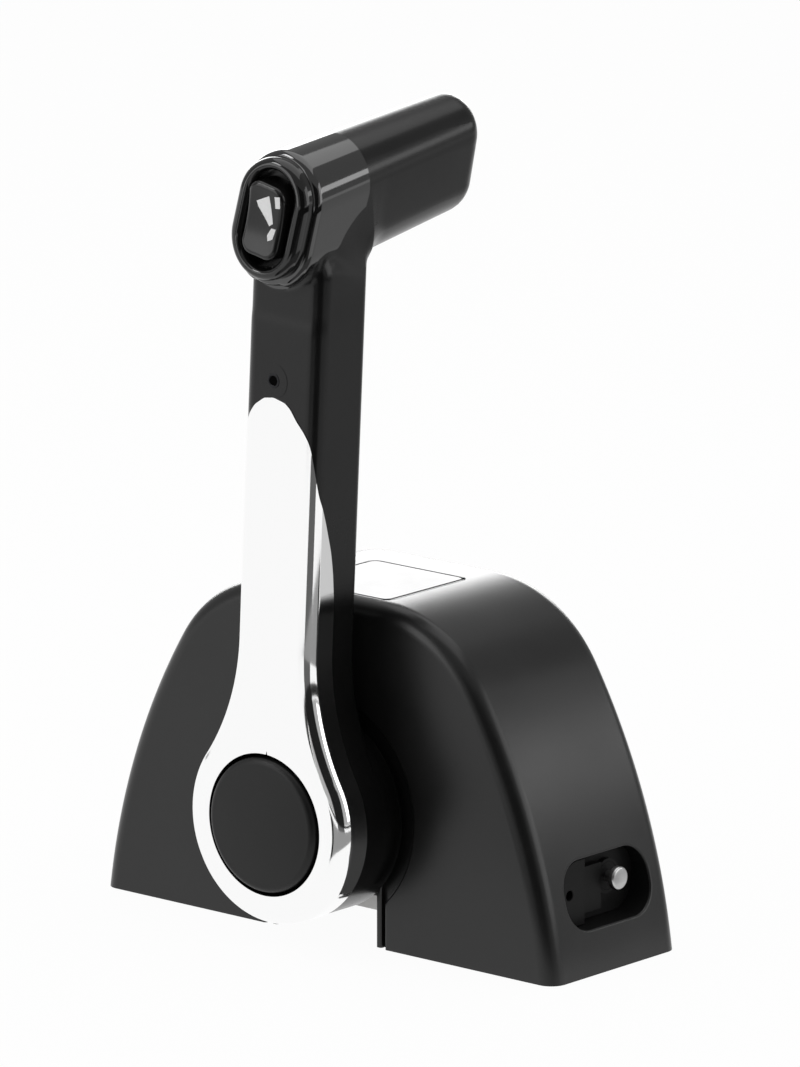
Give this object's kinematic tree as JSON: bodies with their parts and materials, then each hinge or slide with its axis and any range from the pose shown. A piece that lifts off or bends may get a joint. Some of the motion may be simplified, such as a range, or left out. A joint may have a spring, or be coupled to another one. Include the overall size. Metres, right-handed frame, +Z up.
{
  "type": "boat throttle control lever",
  "caption": "Top-mount single-lever outboard control: black dome, leaning lever with bright teardrop trim, hub button and T-grip with rocker.",
  "frame": {"origin": "middle of the cover's footprint on the deck", "axes": "+Y forward, +X starboard, +Z up; the lever is on the port side"},
  "size_m": [0.1095, 0.201, 0.2841],
  "materials": {
    "dome_plastic": "satin black moulding",
    "arm_plastic": "satin black moulding",
    "gloss_plastic": "gloss black moulding",
    "button_plastic": "satin black moulding",
    "bright_chrome": "polished",
    "cast_alloy": "as cast",
    "steel": "machined",
    "bush_polymer": "natural acetal",
    "switch_plastic": "moulded",
    "brake_pad": "friction pad"
  },
  "bodies": {
    "housing": {"cover_shell": "dome_plastic", "top_plate": "dome_plastic", "shaft_shroud": "dome_plastic", "main_frame": "cast_alloy", "port_bush": "bush_polymer", "starboard_bush": "bush_polymer", "gear_studs": "steel", "stud_clips": "steel", "switch_plate": "dome_plastic", "stop_switch_body": "switch_plastic", "cover_screws": "steel", "cable_clamps": "bush_polymer", "clamp_screws": "steel", "friction_pad": "brake_pad", "friction_screw": "steel"},
    "lever": {"lever_core": "cast_alloy", "arm_moulding": "arm_plastic", "chrome_trim": "bright_chrome", "grip_head": "gloss_plastic", "switch_bezel": "gloss_plastic", "trim_switch": "switch_plastic", "rocker_pin": "steel", "arm_screw": "steel", "main_shaft": "steel", "hub_bolt": "steel", "hub_washer": "steel", "shaft_clip": "steel", "drive_gear": "steel", "button_spring": "steel"},
    "hub_button": {"throttle_button": "button_plastic"},
    "rocker": {"trim_rocker": "gloss_plastic"},
    "stop_plunger": {"stop_button": "bright_chrome"},
    "shift_arm": {"shift_gear": "steel", "shift_cable_pin": "steel"},
    "throttle_arm": {"throttle_gear": "steel", "throttle_cable_pin": "steel"}
  },
  "joints": [
    {"name": "lever_swing", "type": "hinge", "parent": "housing", "child": "lever", "pos_m": [-0.03, 0, 0.045], "axis": [1, 0, 0], "range_deg": [-78, 58]},
    {"name": "button_press", "type": "slide", "parent": "lever", "child": "hub_button", "axis": [1, 0, 0], "range_m": [0, 0.004], "stiffness_N_per_m": 900, "springref_m": -0.001, "deforming": ["button_spring"]},
    {"name": "rocker_tilt", "type": "hinge", "parent": "lever", "child": "rocker", "pos_m": [-0.0615, -0.01026, 0.25475], "axis": [0, -0.9988, -0.0488], "range_deg": [-8, 8], "stiffness_Nm_per_rad": 0.4},
    {"name": "stop_press", "type": "slide", "parent": "housing", "child": "stop_plunger", "axis": [0, 1, 0], "range_m": [0, 0.003], "stiffness_N_per_m": 600, "springref_m": -0.0008},
    {"name": "shift_turn", "type": "hinge", "parent": "housing", "child": "shift_arm", "pos_m": [0.02, -0.042, 0.045], "axis": [1, 0, 0], "range_deg": [-35.69, 48]},
    {"name": "throttle_turn", "type": "hinge", "parent": "housing", "child": "throttle_arm", "pos_m": [0.02, 0.042, 0.045], "axis": [1, 0, 0], "range_deg": [-35.69, 48]}
  ],
  "couplings": [
    {"joint": "shift_turn", "follows": "lever_swing", "ratio": -0.61538},
    {"joint": "throttle_turn", "follows": "lever_swing", "ratio": -0.61538}
  ]
}
